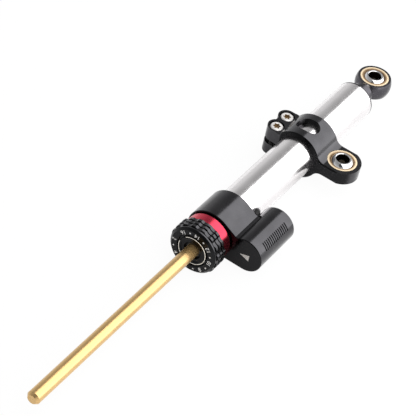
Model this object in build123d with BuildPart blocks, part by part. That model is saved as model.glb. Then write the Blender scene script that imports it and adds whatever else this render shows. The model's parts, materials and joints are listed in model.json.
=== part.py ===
from build123d import *
from math import cos, radians, sin, sqrt, tan
import os

os.makedirs("parts", exist_ok=True)

# A linear steering damper for a motorcycle, in millimetres.
# The origin is the centre of the rod eye's ball, on the damper's axis. +X runs along the
# tube to the free end of the rod, +Z runs up the bolt bores of both eyes, and +Y points
# to the side that carries the oil reservoir and the clamp's eye.
# The rod is shown pushed fully in, with its eye close behind the tube.

# Fits
running_clearance = 0.05
rod_bore_clearance = 0.3
seat_gap = 0.15
cut_overrun = 1.0

# Tube
tube_radius = 12.5
tube_wall = 1.5
tube_rear_x = 24.5

# Piston rod
rod_radius = 4.0
rod_length = 334.0
rod_tip_chamfer = 1.2
rod_tip_chamfer_length = 1.6
stroke = 110.0
rear_stop_gap = 3.5

# Ball joints, the same size in both eyes
ball_radius = 7.9375
ball_width = 12.0
ball_bore_radius = 4.0
ball_bore_chamfer = 0.5
race_radius = 9.1
race_mouth_chamfer = 0.8

# Rod eye
rod_eye_radius = 11.7
rod_eye_thickness = 10.0
rod_eye_shank_radius = 7.0
rod_eye_shank_gap = 1.2
rod_eye_shank_chamfer = 0.8
rod_eye_cone_start = 9.5
rod_eye_cone_length = 4.0
rod_thread_depth = 10.0

# Rear cap
rear_cap_flange = 1.3
rear_cap_depth = 14.0
rear_cap_edge_round = 0.5
rear_cap_pin_hole_radius = 1.0
rear_cap_pin_hole_depth = 2.5
rear_cap_pin_circle = 8.8

# Rod guides and seals, used at both ends
bush_wall = 1.2
bush_length = 5.0
front_bush_length = 8.0
rod_seal_wall = 2.2
rod_seal_length = 3.6
rod_seal_groove_depth = 1.4
rod_seal_groove_width = 0.9
wiper_wall = 1.6
wiper_length = 2.6
wiper_lip_length = 0.8
guide_wall = 1.2
o_ring_wire_radius = 0.7

# Head, which holds the tube and carries the reservoir beside it
head_radius = 15.5
head_length = 22.9
head_tube_depth = 14.1
head_edge_chamfer = 0.4
valley_angle = 60.6
valley_sink = 2.01
tube_o_ring_inset = 2.8

# Reservoir
reservoir_offset = 8.5
reservoir_radius = 10.9
reservoir_length = 35.3
reservoir_edge_round = 0.8
reservoir_bore_radius = 7.5
reservoir_end_wall = 4.3
reservoir_cap_inset = 1.9
reservoir_cap_length = 4.5
reservoir_cap_socket = 5.0
reservoir_cap_socket_depth = 2.5
reservoir_clip_thickness = 1.0
reservoir_clip_depth = 0.6
reservoir_clip_width = 1.5
reservoir_clip_gap_angle = 40.0
reservoir_piston_length = 7.0
reservoir_piston_recess_radius = 4.2
reservoir_piston_recess_depth = 2.0
reservoir_spring_length = 9.6
reservoir_spring_radius = 5.6
reservoir_spring_wire_radius = 0.5
reservoir_spring_turns = 4

# Cooling slots on the outside of the reservoir
fin_slot_count = 14
fin_slot_pitch = 1.7
fin_slot_width = 0.85
fin_slot_depth = 1.6
fin_slot_start_angle = 29.0
fin_slot_end_angle = 58.0
fin_slot_rear_inset = 6.2

# Plug in the rear of the head, between tube and reservoir
plug_tube_gap = 1.28
plug_reservoir_gap = 0.25
plug_head_radius = 2.1
plug_head_length = 3.6
plug_head_round = 0.5
plug_stem_radius = 1.2
plug_stem_length = 5.0
plug_socket = 1.8
plug_socket_depth = 1.4

# Red collar and the hub that it sits on
collar_seat_radius = 13.5
collar_seat_length = 0.9
collar_radius = 14.5
collar_length = 6.8
collar_chamfer = 0.5
hub_radius = 8.8
hub_nose_sunk = 0.1

# Gland nut in the hub's bore
gland_radius = 7.6
gland_sunk = 0.4
gland_recess_radius = 5.65
gland_recess_depth = 1.2
gland_pin_circle = 6.55
gland_pin_hole_radius = 0.65
gland_pin_hole_depth = 2.5
gland_pin_angle = 41.0
gland_o_ring_inset = 4.0

# Adjuster knob
knob_radius = 16.0
knob_gap = 0.3
knob_band_count = 3
knob_band_length = 2.0
knob_groove_width = 0.8
knob_groove_depth = 1.6
knob_relief_width = 0.35
knob_rim_length = 2.25
knob_rim_radius = 15.2
knob_rim_chamfer = 1.3
knob_band_bevel = 0.25
knob_flute_count = 16
knob_flute_depth = 0.8
knob_flute_radius = 3.6
knob_recess_radius = 10.3
knob_recess_depth = 1.9
knob_recess_bevel = 0.5
snap_ring_wire_radius = 0.4
snap_ring_groove_depth = 0.6
snap_ring_open_angle = 38.0
snap_ring_open_centre = 146.0

# Click stops of the knob and the stepped cam behind it
click_count = 16
rest_click = 10
cam_first_depth = 0.3
cam_step = 0.12
cam_gap = 0.18
cam_half_width = 1.2
detent_ball_radius = 0.9
detent_circle = 12.9
detent_angle = 90.0
detent_bore_depth = 5.0
detent_dimple_radius = 0.6
detent_dimple_depth = 0.35
detent_dimple_taper = 45.0
detent_spring_wire_radius = 0.2
detent_spring_turns = 4
spring_wire_sides = 8

# Metering needle
needle_circle = 10.4
needle_radius = 1.1
needle_tip_radius = 0.35
needle_tip_length = 1.6
needle_seat_depth = 1.6
needle_seat_gap = 0.15
needle_port_radius = 0.5
needle_ring_wire_radius = 0.3
needle_ring_inset = 10.0
cross_port_radius = 0.8
cross_port_inset = 1.5

# Piston on the rod
piston_length = 12.0
piston_front_gap = 12.5
piston_clearance = 0.06
piston_band_length = 5.0
piston_band_wall = 1.2
piston_band_clearance = 0.04
piston_port_count = 6
piston_port_radius = 0.9
piston_port_circle = 7.0
shim_radius = 8.5
shim_thickness = 0.3
piston_clip_radius = 6.0
piston_clip_thickness = 0.8
piston_clip_groove_depth = 0.4

# Frame clamp around the tube
clamp_x = 82.0
clamp_width = 23.5
clamp_wall = 3.3
clamp_edge_chamfer = 0.7
clamp_eye_y = 25.5
clamp_eye_radius = 11.75
clamp_eye_thickness = 8.4
clamp_web_fillet = 6.0
window_y = -1.3
window_length = 15.0
window_width = 11.5
ear_top_z = 8.0
ear_bottom_z = -11.0
ear_lobe_radius = 5.7
ear_waist_depth = 2.2
ear_corner_round = 1.6
split_top_z = -0.5
split_width = 3.0

# Clamp screws
screw_spacing = 11.7
screw_y = -18.7
screw_shank_radius = 2.5
screw_head_radius = 4.2
screw_head_height = 4.8
screw_head_chamfer = 0.5
screw_socket = 4.0
screw_socket_depth = 2.6
screw_bore_clearance = 0.45
screw_sink = 0.3
screw_tip_inset = 1.0

# Places worked out from the sizes above
reservoir_y = head_radius + reservoir_offset
tube_bore_radius = tube_radius - tube_wall
tube_length = rear_cap_depth + rear_stop_gap + stroke + piston_length + piston_front_gap
tube_front_x = tube_rear_x + tube_length
rear_cap_rear_x = tube_rear_x - rear_cap_flange
rear_cap_front_x = tube_rear_x + rear_cap_depth
rod_eye_shank_end_x = rear_cap_rear_x - rod_eye_shank_gap
rod_rear_x = rod_eye_shank_end_x - rod_thread_depth
rod_front_x = rod_rear_x + rod_length
head_rear_x = tube_front_x - head_tube_depth
head_front_x = head_rear_x + head_length
collar_rear_x = head_front_x + collar_seat_length
collar_front_x = collar_rear_x + collar_length
knob_rear_x = collar_front_x + knob_gap
knob_bands_length = knob_band_count * knob_band_length + (knob_band_count - 1) * knob_groove_width
knob_bands_front_x = knob_rear_x + knob_bands_length
knob_front_x = knob_bands_front_x + knob_relief_width + knob_rim_length
knob_recess_x = knob_front_x - knob_recess_depth
hub_front_x = knob_front_x - hub_nose_sunk
snap_ring_x = knob_recess_x + running_clearance + snap_ring_wire_radius
snap_ring_radius = hub_radius - snap_ring_groove_depth + snap_ring_wire_radius
gland_rear_x = tube_front_x
gland_front_x = hub_front_x - gland_sunk
reservoir_front_x = head_front_x
reservoir_rear_x = reservoir_front_x - reservoir_length
reservoir_bore_front_x = reservoir_front_x - reservoir_end_wall
reservoir_cap_rear_x = reservoir_rear_x + reservoir_cap_inset
reservoir_cap_front_x = reservoir_cap_rear_x + reservoir_cap_length
reservoir_piston_rear_x = reservoir_cap_front_x + reservoir_spring_length + 2 * seat_gap
click_angle = 360 / click_count
rod_fit_radius = rod_radius + running_clearance
rod_free_radius = rod_radius + rod_bore_clearance


def outline(*points):
    """Make the closed polygon through the points a face of the sketch being built."""
    with BuildLine() as border:
        Polyline(*points, close=True)
    make_face(border.edges())


def ring_sector(inner_radius, outer_radius, start_angle, end_angle, centre=(0, 0)):
    """Make a sector of a flat ring a face of the sketch being built."""
    span = end_angle - start_angle
    with BuildLine() as border:
        inner = CenterArc(centre, inner_radius, start_angle, span)
        outer = CenterArc(centre, outer_radius, start_angle, span)
        Line(inner @ 0, outer @ 0)
        Line(inner @ 1, outer @ 1)
    make_face(border.edges())


def axis_plane(y=0.0):
    """The plane of X and radius through an axis that runs along X at the given Y."""
    return Plane(origin=(0, y, 0), x_dir=(1, 0, 0), z_dir=(0, -1, 0))


def axis_along_x(y=0.0, z=0.0):
    """The axis that runs along X at the given Y and Z."""
    return Axis((0, y, z), (1, 0, 0))


def sleeve(start_x, end_x, outer_radius, inner_radius, y=0.0, mode=Mode.ADD):
    """Add or cut a plain ring or, with no inner radius, a disc that lies along X."""
    with BuildSketch(Plane.YZ.offset(start_x)) as section:
        with Locations((y, 0)):
            Circle(outer_radius)
            if inner_radius > 0:
                Circle(inner_radius, mode=Mode.SUBTRACT)
    extrude(section.sketch, amount=end_x - start_x, mode=mode)


def round_ring(centre_x, centre_radius, wire_radius, y=0.0, mode=Mode.ADD):
    """Add or cut a ring of round section about an axis that runs along X."""
    with BuildSketch(axis_plane(y)) as section:
        with Locations((centre_x, centre_radius)):
            Circle(wire_radius)
    revolve(section.sketch, axis=axis_along_x(y), mode=mode)


def drill(start_x, end_x, radius, y, z):
    """Cut a round hole that runs along X."""
    with BuildSketch(Plane.YZ.offset(start_x)) as section:
        with Locations((y, z)):
            Circle(radius)
    extrude(section.sketch, amount=end_x - start_x, mode=Mode.SUBTRACT)


def coil(start_x, length, mean_radius, wire_radius, turns, y=0.0, z=0.0):
    """Add a spring whose axis runs along X, with a many-sided wire."""
    height = length - 2 * wire_radius
    with BuildLine():
        path = Helix(height / turns, height, mean_radius, center=(start_x + wire_radius, y, z),
                     direction=(1, 0, 0))
    with BuildSketch(Plane(origin=path @ 0, z_dir=path % 0)) as section:
        RegularPolygon(wire_radius, spring_wire_sides)
    sweep(section.sketch, path=path, is_frenet=True)


def seal(start_x, outer_radius):
    """Add a rod seal with a U-shaped groove in its front face."""
    end_x = start_x + rod_seal_length
    middle_radius = (rod_fit_radius + outer_radius) / 2
    half_groove = rod_seal_groove_width / 2
    with BuildSketch(axis_plane()) as section:
        outline(
            (start_x, rod_fit_radius),
            (end_x, rod_fit_radius),
            (end_x, middle_radius - half_groove),
            (end_x - rod_seal_groove_depth, middle_radius),
            (end_x, middle_radius + half_groove),
            (end_x, outer_radius),
            (start_x, outer_radius),
        )
    revolve(section.sketch, axis=Axis.X)


def wiper(inner_x, outer_x, outer_radius):
    """Add a rod wiper whose lip thins towards its outer face."""
    side = 1 if outer_x > inner_x else -1
    shoulder_x = outer_x - side * wiper_lip_length
    with BuildSketch(axis_plane()) as section:
        outline(
            (inner_x, rod_fit_radius),
            (outer_x, rod_fit_radius),
            (outer_x, rod_fit_radius + wiper_lip_length / 2),
            (shoulder_x, outer_radius),
            (inner_x, outer_radius),
        )
    revolve(section.sketch, axis=Axis.X)


def ball_race(half_thickness):
    """Add the outer race of a ball joint, whose bore is a zone of a sphere."""
    Cylinder(race_radius, 2 * half_thickness)
    Sphere(ball_radius + running_clearance, mode=Mode.SUBTRACT)
    mouths = edges().filter_by(GeomType.CIRCLE)
    mouths = mouths.filter_by(lambda edge: edge.radius < ball_radius)
    chamfer(mouths, race_mouth_chamfer)


def joint_ball():
    """Add the drilled ball of a ball joint, with its flats square to the bolt."""
    Sphere(ball_radius)
    Box(4 * ball_radius, 4 * ball_radius, ball_width, mode=Mode.INTERSECT)
    Cylinder(ball_bore_radius, ball_width, mode=Mode.SUBTRACT)
    mouths = edges().filter_by(GeomType.CIRCLE)
    mouths = mouths.filter_by(lambda edge: abs(edge.radius - ball_bore_radius) < ball_bore_chamfer)
    chamfer(mouths, ball_bore_chamfer)


def save(piece, name):
    """Label a finished piece and write its STEP file."""
    piece.label = name
    export_step(piece, f"parts/{name}.step")


# Damper tube
with BuildPart() as damper_tube:
    sleeve(tube_rear_x, tube_front_x, tube_radius, tube_bore_radius)
save(damper_tube.part, "damper_tube")


# Rear cap, screwed into the tube, with its bush, seal, wiper and O-ring
bush_radius = rod_fit_radius + bush_wall
seal_radius = rod_fit_radius + rod_seal_wall
wiper_radius = rod_fit_radius + wiper_wall
rear_wiper_x = rear_cap_rear_x + wiper_length
rear_seal_x = rear_wiper_x + guide_wall
rear_seal_end_x = rear_seal_x + rod_seal_length
rear_bush_x = rear_cap_front_x - bush_length
rear_o_ring_x = tube_rear_x + rear_cap_depth / 2
o_ring_groove_depth = 2 * o_ring_wire_radius

with BuildPart() as rear_cap:
    sleeve(rear_cap_rear_x, tube_rear_x, tube_radius, rod_free_radius)
    fillet(edges().filter_by(GeomType.CIRCLE).group_by(Axis.X)[0].sort_by(SortBy.RADIUS)[-1],
           rear_cap_edge_round)
    sleeve(tube_rear_x, rear_cap_front_x, tube_bore_radius, rod_free_radius)
    sleeve(rear_cap_rear_x, rear_wiper_x, wiper_radius, 0, mode=Mode.SUBTRACT)
    sleeve(rear_seal_x, rear_seal_end_x, seal_radius, 0, mode=Mode.SUBTRACT)
    sleeve(rear_bush_x, rear_cap_front_x, bush_radius, 0, mode=Mode.SUBTRACT)
    sleeve(rear_o_ring_x - o_ring_wire_radius, rear_o_ring_x + o_ring_wire_radius,
           tube_bore_radius, tube_bore_radius - o_ring_groove_depth, mode=Mode.SUBTRACT)
    for side in (-1, 1):
        drill(rear_cap_rear_x, rear_cap_rear_x + rear_cap_pin_hole_depth,
              rear_cap_pin_hole_radius, side * rear_cap_pin_circle, 0)
save(rear_cap.part, "rear_cap")

with BuildPart() as rear_rod_bush:
    sleeve(rear_bush_x, rear_cap_front_x, bush_radius, rod_fit_radius)
save(rear_rod_bush.part, "rear_rod_bush")

with BuildPart() as rear_rod_seal:
    seal(rear_seal_x, seal_radius)
save(rear_rod_seal.part, "rear_rod_seal")

with BuildPart() as rear_wiper:
    wiper(rear_wiper_x, rear_cap_rear_x, wiper_radius)
save(rear_wiper.part, "rear_wiper")

with BuildPart() as rear_cap_o_ring:
    round_ring(rear_o_ring_x, tube_bore_radius - o_ring_wire_radius, o_ring_wire_radius)
save(rear_cap_o_ring.part, "rear_cap_o_ring")


# Head body: tube socket, hub, reservoir lobe and the web between them
plug_from_tube = tube_radius + plug_head_radius + plug_tube_gap
plug_from_reservoir = reservoir_radius + plug_head_radius + plug_reservoir_gap
plug_y = (plug_from_tube**2 - plug_from_reservoir**2 + reservoir_y**2) / (2 * reservoir_y)
plug_z = sqrt(plug_from_tube**2 - plug_y**2)
valley_top_y = head_radius * cos(radians(valley_angle))
valley_top_z = head_radius * sin(radians(valley_angle))
valley_z = reservoir_radius - valley_sink
valley_y = valley_top_y + (valley_top_z - valley_z) * tan(radians(valley_angle))
lobe_side_y = reservoir_y - sqrt(reservoir_radius**2 - valley_z**2)
web_base_y = sqrt(head_radius**2 - reservoir_radius**2)
tube_o_ring_x = head_rear_x + tube_o_ring_inset
tube_o_ring_radius = tube_radius + o_ring_wire_radius
needle_seat_x = tube_front_x + needle_seat_depth
needle_bore_radius = needle_radius + running_clearance
detent_y = detent_circle * cos(radians(detent_angle))
detent_z = detent_circle * sin(radians(detent_angle))
reservoir_clip_groove_radius = reservoir_bore_radius + reservoir_clip_depth
reservoir_clip_rear_x = reservoir_cap_rear_x - reservoir_clip_thickness
fin_slot_first_x = reservoir_rear_x + fin_slot_rear_inset

with BuildPart() as head_body:
    with BuildSketch(Plane.YZ.offset(head_rear_x)):
        Circle(head_radius)
        with Locations((reservoir_y, 0)):
            Circle(reservoir_radius)
        outline(
            (0, 0),
            (valley_top_y, valley_top_z),
            (valley_y, valley_z),
            (lobe_side_y, valley_z),
            (reservoir_y, 0),
            (reservoir_y, -reservoir_radius),
            (web_base_y, -reservoir_radius),
        )
    extrude(amount=head_length)
    chamfer(faces().sort_by(Axis.X)[-1].outer_wire().edges(), head_edge_chamfer)
    with BuildSketch(Plane.YZ.offset(reservoir_rear_x)):
        with Locations((reservoir_y, 0)):
            Circle(reservoir_radius)
    extrude(amount=head_rear_x - reservoir_rear_x)
    fillet(faces().sort_by(Axis.X)[0].outer_wire().edges(), reservoir_edge_round)
    sleeve(head_front_x, collar_rear_x, collar_seat_radius, 0)
    sleeve(collar_rear_x, hub_front_x, hub_radius, 0)
    chamfer(faces().sort_by(Axis.X)[-1].edges(), snap_ring_wire_radius / 2)
    sleeve(head_rear_x, tube_front_x, tube_radius, 0, mode=Mode.SUBTRACT)
    sleeve(tube_front_x, hub_front_x, gland_radius, 0, mode=Mode.SUBTRACT)
    sleeve(tube_o_ring_x - o_ring_wire_radius, tube_o_ring_x + o_ring_wire_radius,
           tube_radius + o_ring_groove_depth, tube_radius, mode=Mode.SUBTRACT)
    sleeve(snap_ring_x - snap_ring_wire_radius, snap_ring_x + snap_ring_wire_radius,
           hub_radius, hub_radius - snap_ring_groove_depth, mode=Mode.SUBTRACT)
    sleeve(reservoir_rear_x, reservoir_bore_front_x, reservoir_bore_radius, 0,
           y=reservoir_y, mode=Mode.SUBTRACT)
    sleeve(reservoir_clip_rear_x, reservoir_cap_rear_x, reservoir_clip_groove_radius, 0,
           y=reservoir_y, mode=Mode.SUBTRACT)
    drill(head_rear_x, head_rear_x + plug_stem_length, plug_stem_radius, plug_y, plug_z)
    drill(tube_front_x, needle_seat_x, needle_port_radius, needle_circle, 0)
    drill(needle_seat_x, collar_rear_x, needle_bore_radius, needle_circle, 0)
    cross_port_x = reservoir_bore_front_x - cross_port_inset
    with BuildSketch(Plane.XZ.offset(-needle_circle)):
        with Locations((cross_port_x, 0)):
            Circle(cross_port_radius)
    extrude(amount=-(reservoir_y - needle_circle), mode=Mode.SUBTRACT)
    for index in range(fin_slot_count):
        slot_x = fin_slot_first_x + index * fin_slot_pitch
        with BuildSketch(Plane.YZ.offset(slot_x)):
            ring_sector(reservoir_radius - fin_slot_depth, reservoir_radius + cut_overrun,
                        fin_slot_start_angle, fin_slot_end_angle, (reservoir_y, 0))
        extrude(amount=fin_slot_width, mode=Mode.SUBTRACT)
save(head_body.part, "head_body")

with BuildPart() as tube_o_ring:
    round_ring(tube_o_ring_x, tube_o_ring_radius, o_ring_wire_radius)
save(tube_o_ring.part, "tube_o_ring")

with BuildPart() as head_plug:
    with BuildSketch(Plane.YZ.offset(head_rear_x - plug_head_length)):
        with Locations((plug_y, plug_z)):
            Circle(plug_head_radius)
    extrude(amount=plug_head_length)
    fillet(edges().group_by(Axis.X)[0], plug_head_round)
    with BuildSketch(Plane.YZ.offset(head_rear_x)):
        with Locations((plug_y, plug_z)):
            Circle(plug_stem_radius)
    extrude(amount=plug_stem_length)
    with BuildSketch(Plane.YZ.offset(head_rear_x - plug_head_length)):
        with Locations((plug_y, plug_z)):
            RegularPolygon(plug_socket / 2, 6, major_radius=False)
    extrude(amount=plug_socket_depth, mode=Mode.SUBTRACT)
save(head_plug.part, "head_plug")


# Reservoir: end cap and its retaining ring, spring and floating piston
reservoir_o_ring_x = (reservoir_cap_rear_x + reservoir_cap_front_x) / 2
reservoir_o_ring_radius = reservoir_bore_radius - o_ring_wire_radius

with BuildPart() as reservoir_cap:
    sleeve(reservoir_cap_rear_x, reservoir_cap_front_x, reservoir_bore_radius, 0, y=reservoir_y)
    sleeve(reservoir_o_ring_x - o_ring_wire_radius, reservoir_o_ring_x + o_ring_wire_radius,
           reservoir_bore_radius, reservoir_bore_radius - o_ring_groove_depth,
           y=reservoir_y, mode=Mode.SUBTRACT)
    with BuildSketch(Plane.YZ.offset(reservoir_cap_rear_x)):
        with Locations((reservoir_y, 0)):
            RegularPolygon(reservoir_cap_socket / 2, 6, major_radius=False)
    extrude(amount=reservoir_cap_socket_depth, mode=Mode.SUBTRACT)
save(reservoir_cap.part, "reservoir_cap")

with BuildPart() as reservoir_cap_o_ring:
    round_ring(reservoir_o_ring_x, reservoir_o_ring_radius, o_ring_wire_radius, y=reservoir_y)
save(reservoir_cap_o_ring.part, "reservoir_cap_o_ring")

with BuildPart() as reservoir_clip:
    with BuildSketch(Plane.YZ.offset(reservoir_clip_rear_x)):
        ring_sector(reservoir_bore_radius - reservoir_clip_width, reservoir_clip_groove_radius,
                    reservoir_clip_gap_angle / 2, 360 - reservoir_clip_gap_angle / 2,
                    (reservoir_y, 0))
    extrude(amount=reservoir_clip_thickness)
save(reservoir_clip.part, "reservoir_clip")

with BuildPart() as reservoir_spring:
    coil(reservoir_cap_front_x + seat_gap, reservoir_spring_length, reservoir_spring_radius,
         reservoir_spring_wire_radius, reservoir_spring_turns, y=reservoir_y)
save(reservoir_spring.part, "reservoir_spring")

reservoir_piston_front_x = reservoir_piston_rear_x + reservoir_piston_length
reservoir_piston_ring_x = (reservoir_piston_rear_x + reservoir_piston_front_x) / 2
reservoir_piston_radius = reservoir_bore_radius - piston_clearance
reservoir_piston_ring_radius = reservoir_bore_radius - piston_band_clearance - o_ring_wire_radius

with BuildPart() as reservoir_piston:
    sleeve(reservoir_piston_rear_x, reservoir_piston_front_x, reservoir_piston_radius, 0,
           y=reservoir_y)
    sleeve(reservoir_piston_ring_x - o_ring_wire_radius,
           reservoir_piston_ring_x + o_ring_wire_radius, reservoir_piston_radius,
           reservoir_piston_ring_radius - o_ring_wire_radius, y=reservoir_y, mode=Mode.SUBTRACT)
    sleeve(reservoir_piston_front_x - reservoir_piston_recess_depth, reservoir_piston_front_x,
           reservoir_piston_recess_radius, 0, y=reservoir_y, mode=Mode.SUBTRACT)
save(reservoir_piston.part, "reservoir_piston")

with BuildPart() as reservoir_piston_o_ring:
    round_ring(reservoir_piston_ring_x, reservoir_piston_ring_radius, o_ring_wire_radius,
               y=reservoir_y)
save(reservoir_piston_o_ring.part, "reservoir_piston_o_ring")


# Gland nut in the hub, with the front bush, seal, wiper and O-ring
front_bush_end_x = gland_rear_x + front_bush_length
front_seal_x = front_bush_end_x + guide_wall
front_seal_end_x = front_seal_x + rod_seal_length
front_wiper_end_x = gland_front_x - gland_recess_depth
front_wiper_x = front_wiper_end_x - wiper_length
gland_o_ring_x = gland_rear_x + gland_o_ring_inset

with BuildPart() as gland_nut:
    sleeve(gland_rear_x, gland_front_x, gland_radius, rod_free_radius)
    sleeve(gland_rear_x, front_bush_end_x, bush_radius, 0, mode=Mode.SUBTRACT)
    sleeve(front_seal_x, front_seal_end_x, seal_radius, 0, mode=Mode.SUBTRACT)
    sleeve(front_wiper_x, front_wiper_end_x, wiper_radius, 0, mode=Mode.SUBTRACT)
    sleeve(front_wiper_end_x, gland_front_x, gland_recess_radius, 0, mode=Mode.SUBTRACT)
    sleeve(gland_o_ring_x - o_ring_wire_radius, gland_o_ring_x + o_ring_wire_radius,
           gland_radius, gland_radius - o_ring_groove_depth, mode=Mode.SUBTRACT)
    for angle in (gland_pin_angle, gland_pin_angle + 180):
        drill(gland_front_x - gland_pin_hole_depth, gland_front_x, gland_pin_hole_radius,
              gland_pin_circle * cos(radians(angle)), gland_pin_circle * sin(radians(angle)))
save(gland_nut.part, "gland_nut")

with BuildPart() as front_rod_bush:
    sleeve(gland_rear_x, front_bush_end_x, bush_radius, rod_fit_radius)
save(front_rod_bush.part, "front_rod_bush")

with BuildPart() as front_rod_seal:
    seal(front_seal_x, seal_radius)
save(front_rod_seal.part, "front_rod_seal")

with BuildPart() as front_wiper:
    wiper(front_wiper_x, front_wiper_end_x, wiper_radius)
save(front_wiper.part, "front_wiper")

with BuildPart() as gland_o_ring:
    round_ring(gland_o_ring_x, gland_radius - o_ring_wire_radius, o_ring_wire_radius)
save(gland_o_ring.part, "gland_o_ring")


# Red collar on the hub, bored for the needle and the click ball
detent_bore_radius = detent_ball_radius + running_clearance
detent_bore_x = collar_front_x - detent_bore_depth

with BuildPart() as accent_collar:
    sleeve(collar_rear_x, collar_front_x, collar_radius, hub_radius)
    rims = edges().filter_by(GeomType.CIRCLE).sort_by(SortBy.RADIUS)[-2:]
    chamfer(rims, collar_chamfer)
    drill(collar_rear_x, collar_front_x, needle_bore_radius, needle_circle, 0)
    drill(detent_bore_x, collar_front_x, detent_bore_radius, detent_y, detent_z)
save(accent_collar.part, "accent_collar")

detent_ball_x = knob_rear_x - running_clearance - detent_ball_radius
detent_spring_length = detent_ball_x - detent_ball_radius - detent_bore_x - 2 * seat_gap

with BuildPart() as detent_ball:
    with Locations((detent_ball_x, detent_y, detent_z)):
        Sphere(detent_ball_radius)
save(detent_ball.part, "detent_ball")

with BuildPart() as detent_spring:
    coil(detent_bore_x + seat_gap, detent_spring_length,
         detent_ball_radius - 2 * detent_spring_wire_radius,
         detent_spring_wire_radius, detent_spring_turns, y=detent_y, z=detent_z)
save(detent_spring.part, "detent_spring")


# Snap ring that keeps the knob on the hub
with BuildPart() as dial_snap_ring:
    with BuildSketch(axis_plane()):
        with Locations((snap_ring_x, snap_ring_radius)):
            Circle(snap_ring_wire_radius)
    revolve(axis=Axis.X, revolution_arc=360 - snap_ring_open_angle)
snap_ring_turn = snap_ring_open_centre + snap_ring_open_angle / 2 - 90
save(dial_snap_ring.part.rotate(Axis.X, snap_ring_turn), "dial_snap_ring")


# Adjuster knob: fluted bands, plain rim, recess for the snap ring, cam and dimples behind
knob_bore_radius = hub_radius + running_clearance
knob_groove_radius = knob_radius - knob_groove_depth
knob_relief_radius = knob_rim_radius - knob_relief_width
knob_pitch = knob_band_length + knob_groove_width
flute_centre_radius = knob_radius - knob_flute_depth + knob_flute_radius

with BuildPart() as adjuster_knob:
    for index in range(knob_band_count):
        band_x = knob_rear_x + index * knob_pitch
        sleeve(band_x, band_x + knob_band_length, knob_radius, knob_bore_radius)
    rims = edges().filter_by(GeomType.CIRCLE)
    chamfer(rims.filter_by(lambda edge: edge.radius > knob_groove_radius), knob_band_bevel)
    with BuildSketch(Plane.YZ.offset(knob_rear_x)):
        with PolarLocations(flute_centre_radius, knob_flute_count):
            Circle(knob_flute_radius)
    extrude(amount=knob_bands_length, mode=Mode.SUBTRACT)
    sleeve(knob_rear_x, knob_bands_front_x, knob_groove_radius, knob_bore_radius)
    sleeve(knob_bands_front_x, knob_front_x - knob_rim_length, knob_relief_radius,
           knob_bore_radius)
    sleeve(knob_front_x - knob_rim_length, knob_front_x, knob_rim_radius, knob_bore_radius)
    front_edges = edges().filter_by(GeomType.CIRCLE).group_by(Axis.X)[-1]
    chamfer(front_edges.sort_by(SortBy.RADIUS)[-1], knob_rim_chamfer)
    sleeve(knob_recess_x, knob_front_x, knob_recess_radius, 0, mode=Mode.SUBTRACT)
    recess_edges = edges().filter_by(GeomType.CIRCLE).group_by(Axis.X)[-1]
    chamfer(recess_edges.sort_by(SortBy.RADIUS)[0], knob_recess_bevel)
    for number in range(1, click_count + 1):
        centre_angle = (number - rest_click) * click_angle
        with BuildSketch(Plane.YZ.offset(knob_rear_x)):
            ring_sector(needle_circle - cam_half_width, needle_circle + cam_half_width,
                        centre_angle - click_angle / 2, centre_angle + click_angle / 2)
        extrude(amount=cam_first_depth + cam_step * (click_count - number), mode=Mode.SUBTRACT)
    with BuildSketch(Plane.YZ.offset(knob_rear_x)):
        with PolarLocations(detent_circle, click_count, start_angle=detent_angle):
            Circle(detent_dimple_radius)
    extrude(amount=detent_dimple_depth, taper=detent_dimple_taper, mode=Mode.SUBTRACT)
save(adjuster_knob.part, "adjuster_knob")


# Metering needle, pushed onto the knob's cam by the oil
needle_travel_in = cam_step * (click_count - rest_click)
needle_front_x = knob_rear_x + cam_first_depth + needle_travel_in - cam_gap
needle_tip_x = needle_seat_x + needle_travel_in + needle_seat_gap
needle_cone_x = needle_tip_x + needle_tip_length
needle_ring_x = needle_front_x - needle_ring_inset

with BuildPart() as metering_needle:
    with BuildSketch(axis_plane(needle_circle)):
        outline(
            (needle_tip_x, 0),
            (needle_tip_x, needle_tip_radius),
            (needle_cone_x, needle_radius),
            (needle_front_x, needle_radius),
            (needle_front_x, 0),
        )
    revolve(axis=axis_along_x(needle_circle))
    sleeve(needle_ring_x - needle_ring_wire_radius, needle_ring_x + needle_ring_wire_radius,
           needle_radius, needle_radius - 2 * needle_ring_wire_radius,
           y=needle_circle, mode=Mode.SUBTRACT)
save(metering_needle.part, "metering_needle")

with BuildPart() as needle_o_ring:
    round_ring(needle_ring_x, needle_radius - needle_ring_wire_radius, needle_ring_wire_radius,
               y=needle_circle)
save(needle_o_ring.part, "needle_o_ring")


# Piston rod with the grooves of the piston's clips
piston_front_x = tube_front_x - piston_front_gap
piston_rear_x = piston_front_x - piston_length
clip_front_x = piston_front_x + shim_thickness
clip_rear_x = piston_rear_x - shim_thickness - piston_clip_thickness
clip_groove_radius = rod_radius - piston_clip_groove_depth

with BuildPart() as damper_rod:
    with BuildSketch(axis_plane()):
        outline(
            (rod_rear_x, 0),
            (rod_rear_x, rod_radius),
            (rod_front_x - rod_tip_chamfer_length, rod_radius),
            (rod_front_x, rod_radius - rod_tip_chamfer),
            (rod_front_x, 0),
        )
    revolve(axis=Axis.X)
    for groove_x in (clip_rear_x, clip_front_x):
        sleeve(groove_x, groove_x + piston_clip_thickness, rod_radius, clip_groove_radius,
               mode=Mode.SUBTRACT)
save(damper_rod.part, "damper_rod")


# Piston with its band, shims and clips
piston_radius = tube_bore_radius - piston_clearance
piston_band_radius = tube_bore_radius - piston_band_clearance
piston_band_x = (piston_rear_x + piston_front_x - piston_band_length) / 2
piston_groove_radius = piston_band_radius - piston_band_wall

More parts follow.
